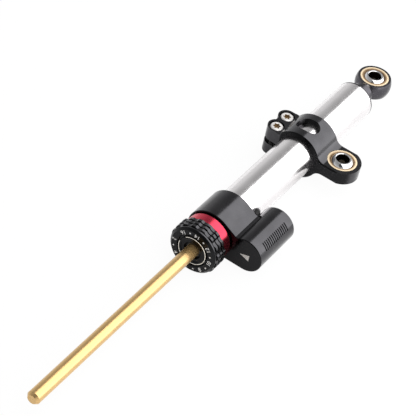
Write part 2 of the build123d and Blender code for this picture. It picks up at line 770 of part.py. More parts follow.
with BuildPart() as piston:
    sleeve(piston_rear_x, piston_front_x, piston_radius, rod_radius)
    sleeve(piston_band_x, piston_band_x + piston_band_length, piston_radius,
           piston_groove_radius, mode=Mode.SUBTRACT)
    with BuildSketch(Plane.YZ.offset(piston_rear_x)):
        with PolarLocations(piston_port_circle, piston_port_count):
            Circle(piston_port_radius)
    extrude(amount=piston_length, mode=Mode.SUBTRACT)
save(piston.part, "piston")

with BuildPart() as piston_band:
    sleeve(piston_band_x, piston_band_x + piston_band_length, piston_band_radius,
           piston_groove_radius)
save(piston_band.part, "piston_band")

with BuildPart() as piston_shims:
    for shim_x in (piston_rear_x - shim_thickness, piston_front_x):
        sleeve(shim_x, shim_x + shim_thickness, shim_radius, rod_radius)
save(piston_shims.part, "piston_shims")

with BuildPart() as piston_clips:
    for groove_x in (clip_rear_x, clip_front_x):
        sleeve(groove_x, groove_x + piston_clip_thickness, piston_clip_radius,
               clip_groove_radius)
save(piston_clips.part, "piston_clips")


# Rod eye
rod_eye_half = rod_eye_thickness / 2

with BuildPart() as rod_eye_housing:
    Sphere(rod_eye_radius)
    Box(4 * rod_eye_radius, 4 * rod_eye_radius, rod_eye_thickness, mode=Mode.INTERSECT)
    with BuildSketch(axis_plane()):
        outline(
            (0, 0),
            (0, rod_eye_half),
            (rod_eye_cone_start, rod_eye_half),
            (rod_eye_cone_start + rod_eye_cone_length, rod_eye_shank_radius),
            (rod_eye_shank_end_x - rod_eye_shank_chamfer, rod_eye_shank_radius),
            (rod_eye_shank_end_x, rod_eye_shank_radius - rod_eye_shank_chamfer),
            (rod_eye_shank_end_x, 0),
        )
    revolve(axis=Axis.X)
    Cylinder(race_radius, 4 * rod_eye_radius, mode=Mode.SUBTRACT)
    sleeve(rod_rear_x, rod_eye_shank_end_x, rod_radius, 0, mode=Mode.SUBTRACT)
save(rod_eye_housing.part, "rod_eye_housing")

with BuildPart() as rod_eye_race:
    ball_race(rod_eye_half)
save(rod_eye_race.part, "rod_eye_race")

with BuildPart() as rod_eye_ball:
    joint_ball()
save(rod_eye_ball.part, "rod_eye_ball")


# Clamp body: split ring, eye on one side, screw ears on the other
clamp_bore_radius = tube_radius + running_clearance
clamp_radius = tube_radius + clamp_wall
clamp_rear_x = clamp_x - clamp_width / 2
clamp_eye_half = clamp_eye_thickness / 2
clamp_eye_end_y = clamp_eye_y + clamp_eye_radius
ear_outer_y = screw_y - ear_lobe_radius
ear_waist_y = ear_outer_y + ear_waist_depth
ear_height = ear_top_z - ear_bottom_z
screw_bore_radius = screw_shank_radius + running_clearance
screw_head_bore_radius = screw_head_radius + screw_bore_clearance
screw_seat_z = ear_top_z - screw_sink - screw_head_height
web_corner_z = clamp_eye_half + clamp_web_fillet
web_corner_y = sqrt((clamp_radius + clamp_web_fillet)**2 - web_corner_z**2)

with BuildPart() as clamp_body:
    with BuildSketch(Plane.YZ.offset(clamp_rear_x)):
        Circle(clamp_radius)
        with Locations((clamp_eye_end_y / 2, 0)):
            Rectangle(clamp_eye_end_y, clamp_eye_thickness)
        outline((0, 0), (web_corner_y, web_corner_z), (web_corner_y, -web_corner_z))
        for side in (-1, 1):
            with Locations((web_corner_y, side * web_corner_z)):
                Circle(clamp_web_fillet, mode=Mode.SUBTRACT)
        with Locations((ear_outer_y / 2, (ear_top_z + ear_bottom_z) / 2)):
            Rectangle(-ear_outer_y, ear_height)
        fillet(vertices().group_by(Axis.X)[0].sort_by(Axis.Y)[0], ear_corner_round)
    extrude(amount=clamp_width)
    ring_edges = edges().filter_by(GeomType.CIRCLE)
    ring_edges = ring_edges.filter_by(lambda edge: abs(edge.radius - clamp_radius) < running_clearance)
    chamfer(ring_edges, clamp_edge_chamfer)
    with BuildSketch(Plane.XY.offset(-clamp_radius)) as plan:
        with Locations((clamp_x, clamp_eye_y)):
            Circle(clamp_eye_radius)
        with Locations((clamp_x, (clamp_eye_y - clamp_radius) / 2)):
            Rectangle(clamp_width, clamp_eye_y + clamp_radius)
        with Locations((clamp_x, ear_waist_y / 2)):
            Rectangle(screw_spacing, -ear_waist_y)
        for side in (-1, 1):
            with Locations((clamp_x + side * screw_spacing / 2, screw_y)):
                Circle(ear_lobe_radius)
            with Locations((clamp_x + side * screw_spacing / 2, screw_y / 2)):
                Rectangle(2 * ear_lobe_radius, -screw_y)
    extrude(amount=2 * clamp_radius, mode=Mode.INTERSECT)
    sleeve(clamp_rear_x, clamp_rear_x + clamp_width, clamp_bore_radius, 0, mode=Mode.SUBTRACT)
    with BuildSketch(Plane.XY):
        with Locations((clamp_x, window_y)):
            SlotOverall(window_length, window_width, rotation=90)
    extrude(amount=2 * clamp_radius, mode=Mode.SUBTRACT)
    with BuildSketch(Plane.XY.offset(-clamp_radius)):
        with Locations((clamp_x, clamp_eye_y)):
            Circle(race_radius)
    extrude(amount=2 * clamp_radius, mode=Mode.SUBTRACT)
    with BuildSketch(Plane.YZ.offset(clamp_rear_x)):
        with Locations((ear_outer_y / 2, split_top_z - split_width / 2)):
            Rectangle(-ear_outer_y, split_width)
    extrude(amount=clamp_width, mode=Mode.SUBTRACT)
    for side in (-1, 1):
        with BuildSketch(Plane.XY.offset(ear_bottom_z)):
            with Locations((clamp_x + side * screw_spacing / 2, screw_y)):
                Circle(screw_bore_radius)
        extrude(amount=ear_height, mode=Mode.SUBTRACT)
        with BuildSketch(Plane.XY.offset(screw_seat_z)):
            with Locations((clamp_x + side * screw_spacing / 2, screw_y)):
                Circle(screw_head_bore_radius)
        extrude(amount=ear_top_z - screw_seat_z, mode=Mode.SUBTRACT)
save(clamp_body.part, "clamp_body")

with BuildPart() as clamp_eye_race:
    with Locations((clamp_x, clamp_eye_y, 0)):
        ball_race(clamp_eye_half)
save(clamp_eye_race.part, "clamp_eye_race")

with BuildPart() as clamp_eye_ball:
    with Locations((clamp_x, clamp_eye_y, 0)):
        joint_ball()
save(clamp_eye_ball.part, "clamp_eye_ball")

with BuildPart() as clamp_screws:
    for side in (-1, 1):
        screw_x = clamp_x + side * screw_spacing / 2
        with BuildSketch(Plane.XY.offset(screw_seat_z)):
            with Locations((screw_x, screw_y)):
                Circle(screw_head_radius)
        extrude(amount=screw_head_height)
        with BuildSketch(Plane.XY.offset(ear_bottom_z + screw_tip_inset)):
            with Locations((screw_x, screw_y)):
                Circle(screw_shank_radius)
        extrude(amount=screw_seat_z - ear_bottom_z - screw_tip_inset)
    head_edges = edges().filter_by(GeomType.CIRCLE).group_by(Axis.Z)[-1]
    chamfer(head_edges, screw_head_chamfer)
    for side in (-1, 1):
        screw_x = clamp_x + side * screw_spacing / 2
        with BuildSketch(Plane.XY.offset(screw_seat_z + screw_head_height)):
            with Locations((screw_x, screw_y)):
                RegularPolygon(screw_socket / 2, 6, major_radius=False)
        extrude(amount=-screw_socket_depth, mode=Mode.SUBTRACT)
save(clamp_screws.part, "clamp_screws")
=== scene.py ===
import json
from math import cos, pi, radians, sin, tan, tau

import bmesh
import bpy
from mathutils import Matrix, Quaternion, Vector


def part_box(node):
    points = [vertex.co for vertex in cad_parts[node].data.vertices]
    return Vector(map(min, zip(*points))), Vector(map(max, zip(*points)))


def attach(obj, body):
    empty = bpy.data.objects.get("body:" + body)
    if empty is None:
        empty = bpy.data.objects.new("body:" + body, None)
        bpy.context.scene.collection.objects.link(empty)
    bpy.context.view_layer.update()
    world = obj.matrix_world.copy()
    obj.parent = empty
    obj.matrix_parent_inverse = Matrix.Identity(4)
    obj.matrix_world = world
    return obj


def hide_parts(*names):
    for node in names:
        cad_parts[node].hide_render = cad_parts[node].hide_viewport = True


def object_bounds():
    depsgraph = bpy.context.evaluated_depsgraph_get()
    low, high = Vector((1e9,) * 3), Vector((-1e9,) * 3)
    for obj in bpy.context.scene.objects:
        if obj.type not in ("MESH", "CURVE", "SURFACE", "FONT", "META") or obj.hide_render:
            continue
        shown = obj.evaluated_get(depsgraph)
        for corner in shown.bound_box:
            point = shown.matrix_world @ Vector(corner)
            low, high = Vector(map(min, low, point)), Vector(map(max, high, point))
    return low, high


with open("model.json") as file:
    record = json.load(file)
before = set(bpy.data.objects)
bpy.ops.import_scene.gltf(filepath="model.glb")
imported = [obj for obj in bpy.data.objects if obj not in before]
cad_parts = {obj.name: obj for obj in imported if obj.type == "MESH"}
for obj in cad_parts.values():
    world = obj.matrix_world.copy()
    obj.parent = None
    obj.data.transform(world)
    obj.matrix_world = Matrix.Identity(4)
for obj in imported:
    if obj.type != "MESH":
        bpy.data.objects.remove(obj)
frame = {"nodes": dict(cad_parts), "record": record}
nodes = frame["nodes"]
cad_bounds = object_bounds()

# One millimetre, for the part's own sizes. The studio's sizes are in metres
MM = 0.001

# Camera, as fitted to the photograph
CAMERA_TARGET = (219.41 * MM, 11.58 * MM, 53.24 * MM)
CAMERA_AZIMUTH = radians(115.504)
CAMERA_ELEVATION = radians(43.329)
CAMERA_ROLL = radians(12.88)
CAMERA_DISTANCE = 922.5 * MM
CAMERA_FOCAL_PIXELS = 1749.3
PHOTO_PIXELS = 416
SENSOR_WIDTH = 36.0
CAMERA_CLIP_START = 0.01

# Light: one large soft panel above the reservoir's side, along the damper's axis
PANEL_ANGLE = radians(50)
PANEL_HALF_ANGLE = radians(49.5)
PANEL_DISTANCE = 0.70
PANEL_LENGTH = 2.1
PANEL_X = -0.45
PANEL_RADIANCE = 2.4

# Brightness of the sky, by the height of the direction that is looked in
SKY_LEVELS = ((0.05, 0.82), (0.27, 0.76), (0.48, 0.50), (0.64, 0.38), (0.85, 0.34))

# Dark screen behind the camera, which only reflections show
SCREEN_RADIUS = 0.35
SCREEN_GAP = 0.05
SCREEN_SEGMENTS = 48
SCREEN_COLOUR = (0.10, 0.10, 0.10, 1)
SCREEN_ROUGHNESS = 1.0

# Floor, and the shares of plain white in it when it is seen straight and in a reflection
FLOOR_HALF_SIZE = 6.0
FLOOR_GRAIN = 0.4
FLOOR_DETAIL = 1
FLOOR_DARK = (0.79, 0.79, 0.79)
FLOOR_LIGHT = (0.81, 0.81, 0.81)
FLOOR_ROUGHNESS = 0.8
BACKDROP_SHARE = 0.95
REFLECTED_SHARE = 0.3

# Middle range of a noise, which holds nearly all its values
NOISE_LOW = 0.3
NOISE_HIGH = 0.7

# Wear of a surface: its smudges, their shares in its roughness, its fine grain and soft edges
SMUDGE_SIZE = 9 * MM
SMUDGE_DETAIL = 4
SMOOTH_SHARE = 0.85
ROUGH_SHARE = 1.2
GRAIN_SIZE = 0.25 * MM
GRAIN_DETAIL = 4
GRAIN_ROUGHNESS = 0.65
TURNING_DETAIL = 2
EDGE_SAMPLES = 4

# Dial markings
DIAL_CLICKS = 16
DIAL_FIRST_NUMBER = 2
DIAL_NUMBER_STEP = 2
DIAL_POINTER_READING = 10.33
DIAL_MARK_RADIUS = 12.3 * MM
DIGIT_HEIGHT = 2.5 * MM
DIGIT_SHARE_OF_FONT = 0.7
DIGIT_BOLDNESS = 0.025 * MM
DOT_RADIUS = 0.5 * MM
DOT_SEGMENTS = 24
MARK_THICKNESS = 0.03 * MM

# Pointer triangle on the front of the reservoir
POINTER_FACE_X = 185.3 * MM
POINTER_CORNERS = ((20.65 * MM, -0.6 * MM), (26.84 * MM, 1.35 * MM), (26.91 * MM, -2.73 * MM))

# Ball joints: places of the bolt bores and sizes about them
EYE_CENTRES = ((0.0, 0.0), (82.0 * MM, 25.5 * MM))
BALL_BORE_RADIUS = 4.25 * MM
BORE_SOFTNESS = 0.05 * MM
RACE_INNER_RADIUS = 6.6 * MM
RACE_OUTER_RADIUS = 9.1 * MM

# Screw ear of the clamp, whose front face gets no painted shade
EAR_SIDE_Y = -12.5 * MM
EAR_FRONT_X = 100.0 * MM

# Bright keeper ring on the edge of the dial's hub
KEEPER_X = 203.15 * MM
KEEPER_RADIUS = 8.95 * MM
KEEPER_WIRE_RADIUS = 0.27 * MM
KEEPER_OPEN_CENTRE = radians(146)
KEEPER_OPEN_ANGLE = radians(38)
KEEPER_SEGMENTS = 120
KEEPER_WIRE_SEGMENTS = 12
KEEPER_SHARP_ANGLE = radians(45)

# Clamp screws
SCREW_CENTRES = ((76.15 * MM, -18.7 * MM), (87.85 * MM, -18.7 * MM))
SCREW_SEGMENTS = 72
SCREW_SHARP_ANGLE = radians(30)
SCREW_TOP_Z = 7.7 * MM
SCREW_SEAT_Z = 2.9 * MM
SCREW_END_Z = -10.0 * MM
SCREW_HEAD_RADIUS = 3.95 * MM
SCREW_HEAD_CHAMFER = 0.5 * MM
SCREW_SHANK_RADIUS = 2.5 * MM
SCREW_ROOT_RADIUS = 2.12 * MM
SCREW_PITCH = 0.8 * MM
SCREW_STEPS_PER_PITCH = 6
SCREW_THREAD_TOP_Z = 1.5 * MM
SOCKET_RADIUS = 2.1 * MM
SOCKET_LOBE = 0.4 * MM
SOCKET_LOBES = 6
SOCKET_DEPTH = 2.4 * MM
SOCKET_POINT_DEPTH = 0.7 * MM
SOCKET_TINT_DROP = 0.1 * MM
SOCKET_SIDE_SOFTNESS = 0.04 * MM
SOCKET_TOP_SOFTNESS = 0.05 * MM

# Colours painted on some places of the metals: painted shade on end faces and in the ball joints'
# bores, and a brown tint in the screws' sockets
END_FACE_SHADE_COLOUR = (0.018, 0.018, 0.019)
BORE_SHADE_COLOUR = (0.030, 0.026, 0.020)
SOCKET_COLOUR = (0.34, 0.24, 0.13)

# Painted highlight and shade across a race, by the share of the way from its mouth to its rim:
# painted shade at the mouth, a painted highlight near the rim
RACE_HIGHLIGHT_AND_SHADE = ((0.0, (0.14, 0.10, 0.06)), (0.40, (0.32, 0.24, 0.17)), (0.60, (0.72, 0.66, 0.58)),
                (0.80, (1.0, 0.99, 0.97)), (1.0, (0.80, 0.76, 0.70)))

# Slopes between plain sides and end faces, by the share of the normal along the damper, over
# which the painted shade on end faces comes in
SLOPE_COSINE = 0.45
FLAT_COSINE = 0.72

# Nodes whose finish differs from the rest of their slot. The snap ring's is a painted shade, near
# black
NODE_FINISHES = {"adjuster_knob": "dial_black", "dial_snap_ring": "painted_shade_spring",
                 "rod_eye_housing": "eye_black"}


def node(tree, kind, **values):
    """Add a shader node and set the named properties on it."""
    made = tree.nodes.new(kind)
    for name, value in values.items():
        setattr(made, name, value)
    return made


def new_material(name):
    """Make an empty principled material and return it with its tree and shader."""
    material = bpy.data.materials.new(name)
    material.use_nodes = True
    tree = material.node_tree
    return material, tree, tree.nodes["Principled BSDF"]


def combine(tree, operation, first, second):
    """The output of one operation on two values, of which the second may be a number."""
    made = node(tree, "ShaderNodeMath", operation=operation)
    tree.links.new(first, made.inputs[0])
    if isinstance(second, (int, float)):
        made.inputs[1].default_value = second
    else:
        tree.links.new(second, made.inputs[1])
    return made.outputs[0]


def map_range(tree, value, source, target, **values):
    """Map a value from a source range onto a target range, and hold it there."""
    made = node(tree, "ShaderNodeMapRange", **values)
    made.inputs["From Min"].default_value = source[0]
    made.inputs["From Max"].default_value = source[1]
    made.inputs["To Min"].default_value = target[0]
    made.inputs["To Max"].default_value = target[1]
    tree.links.new(value, made.inputs["Value"])
    return made.outputs["Result"]


def object_place(tree):
    """The output that gives a point's place in the damper's own frame."""
    return node(tree, "ShaderNodeTexCoord").outputs["Object"]


def noise(tree, place, size, detail, roughness=0.5):
    """The output of a noise whose grains are about the given size."""
    made = node(tree, "ShaderNodeTexNoise")
    made.inputs["Scale"].default_value = 1 / size
    made.inputs["Detail"].default_value = detail
    made.inputs["Roughness"].default_value = roughness
    tree.links.new(place, made.inputs["Vector"])
    return made.outputs["Fac"]


def turning_marks(tree, place, pitch):
    """The output of fine rings about the damper's axis, on round sides and end faces alike."""
    parts = node(tree, "ShaderNodeSeparateXYZ")
    tree.links.new(place, parts.inputs[0])
    flat = node(tree, "ShaderNodeCombineXYZ")
    tree.links.new(parts.outputs["Y"], flat.inputs["X"])
    tree.links.new(parts.outputs["Z"], flat.inputs["Y"])
    radius = node(tree, "ShaderNodeVectorMath", operation="LENGTH")
    tree.links.new(flat.outputs[0], radius.inputs[0])
    total = combine(tree, "ADD", parts.outputs["X"], radius.outputs["Value"])
    rings = node(tree, "ShaderNodeTexNoise", noise_dimensions="1D")
    rings.inputs["Scale"].default_value = 1 / pitch
    rings.inputs["Detail"].default_value = TURNING_DETAIL
    tree.links.new(total, rings.inputs["W"])
    return rings.outputs["Fac"]


def graded(tree, value, stops):
    """Colour a value by stops, given as (position, colour) pairs from low to high."""
    ramp = node(tree, "ShaderNodeValToRGB")
    elements = ramp.color_ramp.elements
    elements[0].position = stops[0][0]
    elements[0].color = (*stops[0][1], 1)
    elements[1].position = stops[-1][0]
    elements[1].color = (*stops[-1][1], 1)
    for position, colour in stops[1:-1]:
        elements.new(position).color = (*colour, 1)
    tree.links.new(value, ramp.inputs["Fac"])
    return ramp.outputs["Color"]


def tint(tree, value, dark, light):
    """Mix two colours by a noise and return the colour output."""
    return graded(tree, value, ((NOISE_LOW, dark), (NOISE_HIGH, light)))


def relief(tree, shader, heights, depth, edge_radius):
    """Drive the shader's normal by soft edges and by bumps of one depth."""
    edge = node(tree, "ShaderNodeBevel", samples=EDGE_SAMPLES)
    edge.inputs["Radius"].default_value = edge_radius
    normal = edge.outputs["Normal"]
    for height in heights:
        bump = node(tree, "ShaderNodeBump")
        bump.inputs["Distance"].default_value = depth
        tree.links.new(height, bump.inputs["Height"])
        tree.links.new(normal, bump.inputs["Normal"])
        normal = bump.outputs["Normal"]
    tree.links.new(normal, shader.inputs["Normal"])


def shade(colour, factor):
    """A colour scaled in brightness."""
    return tuple(min(channel * factor, 1) for channel in colour)


def axis_distance(tree, place, centres):
    """The distance of a point from the nearest of some upright axes."""
    nearest = None
    for x, y in centres:
        offset = node(tree, "ShaderNodeVectorMath", operation="SUBTRACT")
        offset.inputs[1].default_value = (x, y, 0)
        tree.links.new(place, offset.inputs[0])
        flat = node(tree, "ShaderNodeVectorMath", operation="MULTIPLY")
        flat.inputs[1].default_value = (1, 1, 0)
        tree.links.new(offset.outputs[0], flat.inputs[0])
        length = node(tree, "ShaderNodeVectorMath", operation="LENGTH")
        tree.links.new(flat.outputs[0], length.inputs[0])
        distance = length.outputs["Value"]
        if nearest is None:
            nearest = distance
        else:
            nearest = combine(tree, "MINIMUM", nearest, distance)
    return nearest


def below(tree, value, edge, softness):
    """1 where a value lies below the edge and 0 above it, with a soft step between."""
    return map_range(tree, value, (edge - softness, edge + softness), (1, 0))


def blend_colour(tree, factor, colours, second):
    """Mix a colour output with one more colour by a factor."""
    made = node(tree, "ShaderNodeMix", data_type="RGBA")
    tree.links.new(factor, made.inputs[0])
    tree.links.new(colours, made.inputs[6])
    made.inputs[7].default_value = (*second, 1)
    return made.outputs[2]


def end_faces(tree, place):
    """Mask of the painted shade on end faces: 1 on faces that look along the damper, less on
    slopes, 0 on the clamp's screw ear.
    """
    parts = node(tree, "ShaderNodeSeparateXYZ")
    tree.links.new(node(tree, "ShaderNodeTexCoord").outputs["Normal"], parts.inputs[0])
    along = combine(tree, "ABSOLUTE", parts.outputs["X"], 0)
    facing = map_range(tree, along, (SLOPE_COSINE, FLAT_COSINE), (0, 1),
                       interpolation_type="SMOOTHSTEP")
    spot = node(tree, "ShaderNodeSeparateXYZ")
    tree.links.new(place, spot.inputs[0])
    beside = combine(tree, "LESS_THAN", spot.outputs["Y"], EAR_SIDE_Y)
    behind = combine(tree, "LESS_THAN", spot.outputs["X"], EAR_FRONT_X)
    ear = combine(tree, "MULTIPLY", beside, behind)
    elsewhere = node(tree, "ShaderNodeMath", operation="SUBTRACT")
    elsewhere.inputs[0].default_value = 1
    tree.links.new(ear, elsewhere.inputs[1])
    return combine(tree, "MULTIPLY", facing, elsewhere.outputs[0])


def dark_ends(tree, place, colours):
    """Painted shade: darken the faces that look along the damper."""
    return blend_colour(tree, end_faces(tree, place), colours, END_FACE_SHADE_COLOUR)


def dark_bores(tree, place, colours):
    """Painted shade: darken the bores of the ball joints."""
    hollow = below(tree, axis_distance(tree, place, EYE_CENTRES), BALL_BORE_RADIUS, BORE_SOFTNESS)
    return blend_colour(tree, hollow, colours, BORE_SHADE_COLOUR)


def race_rings(tree, place, colours):
    """Painted highlight and shade on a race: a bright outer rim and a brown mouth."""
    share = map_range(tree, axis_distance(tree, place, EYE_CENTRES),
                      (RACE_INNER_RADIUS, RACE_OUTER_RADIUS), (0, 1))
    shades = graded(tree, share, RACE_HIGHLIGHT_AND_SHADE)
    mixed = node(tree, "ShaderNodeMix", data_type="RGBA", blend_type="MULTIPLY")
    mixed.inputs[0].default_value = 1
    tree.links.new(colours, mixed.inputs[6])
    tree.links.new(shades, mixed.inputs[7])
    return mixed.outputs[2]


def brown_sockets(tree, place, colours):
    """Tint the sockets in the screws' heads brown."""
    hollow = below(tree, axis_distance(tree, place, SCREW_CENTRES), SOCKET_RADIUS + SOCKET_LOBE,
                   SOCKET_SIDE_SOFTNESS)
    spot = node(tree, "ShaderNodeSeparateXYZ")
    tree.links.new(place, spot.inputs[0])
    height = spot.outputs["Z"]
    sunk = below(tree, height, SCREW_TOP_Z - SOCKET_TINT_DROP, SOCKET_TOP_SOFTNESS)
    in_head = combine(tree, "MULTIPLY", sunk, combine(tree, "GREATER_THAN", height, SCREW_SEAT_Z))
    return blend_colour(tree, combine(tree, "MULTIPLY", hollow, in_head), colours, SOCKET_COLOUR)


def worn_material(name, colour, roughness, marks=None, edge=0.15 * MM, metallic=1.0, ior=1.5,
                  depth=0.004 * MM, variation=0.12, by_place=None):
    """A surface with grain, smudges and, where it was turned, fine rings, and with any colours
    set by place, some of which are painted shade and highlights.
    """
    material, tree, shader = new_material(name)
    place = object_place(tree)
    smudges = noise(tree, place, SMUDGE_SIZE, SMUDGE_DETAIL)
    fine = noise(tree, place, GRAIN_SIZE, GRAIN_DETAIL, GRAIN_ROUGHNESS)
    colours = tint(tree, smudges, shade(colour, 1 - variation), shade(colour, 1 + variation))
    if by_place is not None:
        colours = by_place(tree, place, colours)
    tree.links.new(colours, shader.inputs["Base Color"])
    worn = map_range(tree, smudges, (NOISE_LOW, NOISE_HIGH),
                     (roughness * SMOOTH_SHARE, roughness * ROUGH_SHARE))
    tree.links.new(worn, shader.inputs["Roughness"])
    shader.inputs["Metallic"].default_value = metallic
    shader.inputs["IOR"].default_value = ior
    heights = [fine]
    if marks is not None:
        heights.append(turning_marks(tree, place, marks))
    relief(tree, shader, heights, depth, edge)
    return material


def make_materials():
    """Every finish by name. One that serves a whole slot is named as the slot."""
    finishes = {
        "clear_anodised": dict(colour=(0.78, 0.76, 0.765), roughness=0.2, marks=0.12 * MM,
                               depth=0.0005 * MM, variation=0.03),
        # black anodising, with painted shade on its end faces
        "black_anodised": dict(colour=(0.063, 0.062, 0.066), roughness=0.18, edge=0.08 * MM,
                               depth=0.002 * MM, by_place=dark_ends),
        "red_anodised": dict(colour=(0.56, 0.043, 0.076), roughness=0.25, depth=0.002 * MM),
        "gold_rod": dict(colour=(0.63, 0.415, 0.18), roughness=0.24, metallic=0.82,
                         depth=0.0004 * MM, variation=0.05),
        # brass races, with a painted highlight at the rim and painted shade at the mouth
        "pale_brass": dict(colour=(0.82, 0.68, 0.48), roughness=0.4, marks=0.1 * MM,
                           metallic=0.3, by_place=race_rings),
        # chrome balls, with painted shade in their bores
        "chrome_steel": dict(colour=(0.74, 0.74, 0.75), roughness=0.09, depth=0.0006 * MM,
                             by_place=dark_bores),
        "plain_steel": dict(colour=(0.55, 0.55, 0.56), roughness=0.3),
        "screw_steel": dict(colour=(0.80, 0.78, 0.76), roughness=0.3, metallic=0.5,
                            depth=0.001 * MM, by_place=brown_sockets),
        "black_steel": dict(colour=(0.012, 0.012, 0.012), roughness=0.5, metallic=0.0, ior=1.25,
                            edge=0.05 * MM),
        # the dial's black, with painted shade on its end faces
        "dial_black": dict(colour=(0.063, 0.062, 0.066), roughness=0.25, edge=0.08 * MM,
                           depth=0.002 * MM, by_place=dark_ends),
        "eye_black": dict(colour=(0.075, 0.072, 0.080), roughness=0.25, edge=0.12 * MM,
                          depth=0.002 * MM),
        # near black: painted shade on the snap ring in the dial's recess
        "painted_shade_spring": dict(colour=(0.05, 0.048, 0.045), roughness=0.35),
        "spring_steel": dict(colour=(0.82, 0.78, 0.70), roughness=0.25),
        "bronze": dict(colour=(0.6, 0.38, 0.18), roughness=0.4),
        "seal_rubber": dict(colour=(0.012, 0.012, 0.012), roughness=0.55, metallic=0.0),
        "guide_plastic": dict(colour=(0.10, 0.13, 0.10), roughness=0.5, metallic=0.0),
        "white_marking": dict(colour=(0.66, 0.66, 0.65), roughness=0.5, metallic=0.0,
                              variation=0.06),
        "grey_marking": dict(colour=(0.42, 0.41, 0.39), roughness=0.5, metallic=0.0,
                             variation=0.06),
    }
    return {name: worn_material(name, **values) for name, values in finishes.items()}


def dress_nodes(materials):
    """Give every CAD node the material of its slot, or its own finish where it has one."""
    for entry in frame["record"]["subparts"]:
        finish = NODE_FINISHES.get(entry["node"], entry["material_slot"])
        node_materials = nodes[entry["node"]].data.materials
        node_materials.clear()
        node_materials.append(materials[finish])


def add_object(name, data):
    """Make an object of some data and link it to the scene."""
    made = bpy.data.objects.new(name, data)
    bpy.context.scene.collection.objects.link(made)
    return made


def close_mesh(shape, name):
    """Turn a shape into a mesh and free the shape."""
    mesh = bpy.data.meshes.new(name)
    shape.to_mesh(mesh)
    shape.free()
    return mesh


def bridge(shape, first, second):
    """Join two closed loops of equally many points by a band of four-sided faces."""
    for index in range(len(first)):
        following = (index + 1) % len(first)
        shape.faces.new((first[index], first[following], second[following], second[index]))


def add_piece(name, mesh, material, body):
    """Add a mesh as a piece that rides on a body."""
    piece = add_object(name, mesh)
    piece.data.materials.append(material)
    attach(piece, body)
    return piece


def dial_angle(reading):
    """The angle of a dial reading about the axis, from +Y towards +Z."""
    return (reading - DIAL_POINTER_READING) * tau / DIAL_CLICKS


def text_mesh(words, height):
    """A thin flat mesh of a few digits, centred on the origin."""
    curve = bpy.data.curves.new("digits", "FONT")
    curve.body = words
    curve.size = height / DIGIT_SHARE_OF_FONT
    curve.align_x = "CENTER"
    curve.align_y = "CENTER"
    curve.extrude = MARK_THICKNESS
    curve.offset = DIGIT_BOLDNESS
    holder = add_object("digits", curve)
    bpy.context.view_layer.update()
    mesh = bpy.data.meshes.new_from_object(holder.evaluated_get(
        bpy.context.evaluated_depsgraph_get()))
    bpy.data.objects.remove(holder)
    return mesh


def make_dial_marks(materials):
    """Even numbers and, between them, dots round the dial's face, read with tops inward."""
    face_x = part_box("adjuster_knob")[1].x
    marks = bmesh.new()
    for number in range(DIAL_FIRST_NUMBER, DIAL_CLICKS + 1, DIAL_NUMBER_STEP):
        angle = dial_angle(number)
        outward = Vector((0, cos(angle), sin(angle)))
        along = Vector((0, -sin(angle), cos(angle)))
        place = Matrix.Translation(Vector((face_x, 0, 0)) + outward * DIAL_MARK_RADIUS)
        turn = Matrix((along, -outward, Vector((1, 0, 0)))).transposed().to_4x4()
        mesh = text_mesh(str(number), DIGIT_HEIGHT)
        mesh.transform(place @ turn)
        marks.from_mesh(mesh)
        bpy.data.meshes.remove(mesh)
    for number in range(DIAL_FIRST_NUMBER + 1, DIAL_CLICKS, DIAL_NUMBER_STEP):
        angle = dial_angle(number)
        centre = (face_x, DIAL_MARK_RADIUS * cos(angle), DIAL_MARK_RADIUS * sin(angle))
        bmesh.ops.create_cone(
            marks, cap_ends=True, segments=DOT_SEGMENTS, radius1=DOT_RADIUS, radius2=DOT_RADIUS,
            depth=2 * MARK_THICKNESS,
            matrix=Matrix.Translation(centre) @ Matrix.Rotation(pi / 2, 4, "Y"))
    mesh = close_mesh(marks, "dial_marks")
    add_piece("dial_marks", mesh, materials["white_marking"], "dial")


def make_pointer(materials):
    """The triangle that the dial is read against."""
    front_x = POINTER_FACE_X + MARK_THICKNESS
    back_x = POINTER_FACE_X - MARK_THICKNESS
    shape = bmesh.new()
    front = [shape.verts.new((front_x, y, z)) for y, z in POINTER_CORNERS]
    back = [shape.verts.new((back_x, y, z)) for y, z in POINTER_CORNERS]
    shape.faces.new(front)
    shape.faces.new(back[::-1])
    bridge(shape, back, front)
    bmesh.ops.recalc_face_normals(shape, faces=shape.faces)
    mesh = close_mesh(shape, "pointer_triangle")
    add_piece("pointer_triangle", mesh, materials["grey_marking"], "barrel")


def make_keeper(materials):
    """The open wire ring that shows bright on the edge of the dial's hub."""
    shape = bmesh.new()
    loops = []
    for step in range(KEEPER_SEGMENTS + 1):
        angle = (KEEPER_OPEN_CENTRE + KEEPER_OPEN_ANGLE / 2
                 + (tau - KEEPER_OPEN_ANGLE) * step / KEEPER_SEGMENTS)
        loop = []
        for index in range(KEEPER_WIRE_SEGMENTS):
            around = tau * index / KEEPER_WIRE_SEGMENTS
            radius = KEEPER_RADIUS + KEEPER_WIRE_RADIUS * cos(around)
            loop.append(shape.verts.new((KEEPER_X + KEEPER_WIRE_RADIUS * sin(around),
                                         radius * cos(angle), radius * sin(angle))))
        loops.append(loop)
    for loop, following in zip(loops, loops[1:]):
        bridge(shape, loop, following)
    shape.faces.new(loops[0])
    shape.faces.new(loops[-1][::-1])
    bmesh.ops.recalc_face_normals(shape, faces=shape.faces)
    mesh = close_mesh(shape, "dial_keeper_ring")
    mesh.shade_smooth()
    mesh.set_sharp_from_angle(angle=KEEPER_SHARP_ANGLE)
    add_piece("dial_keeper_ring", mesh, materials["spring_steel"], "barrel")


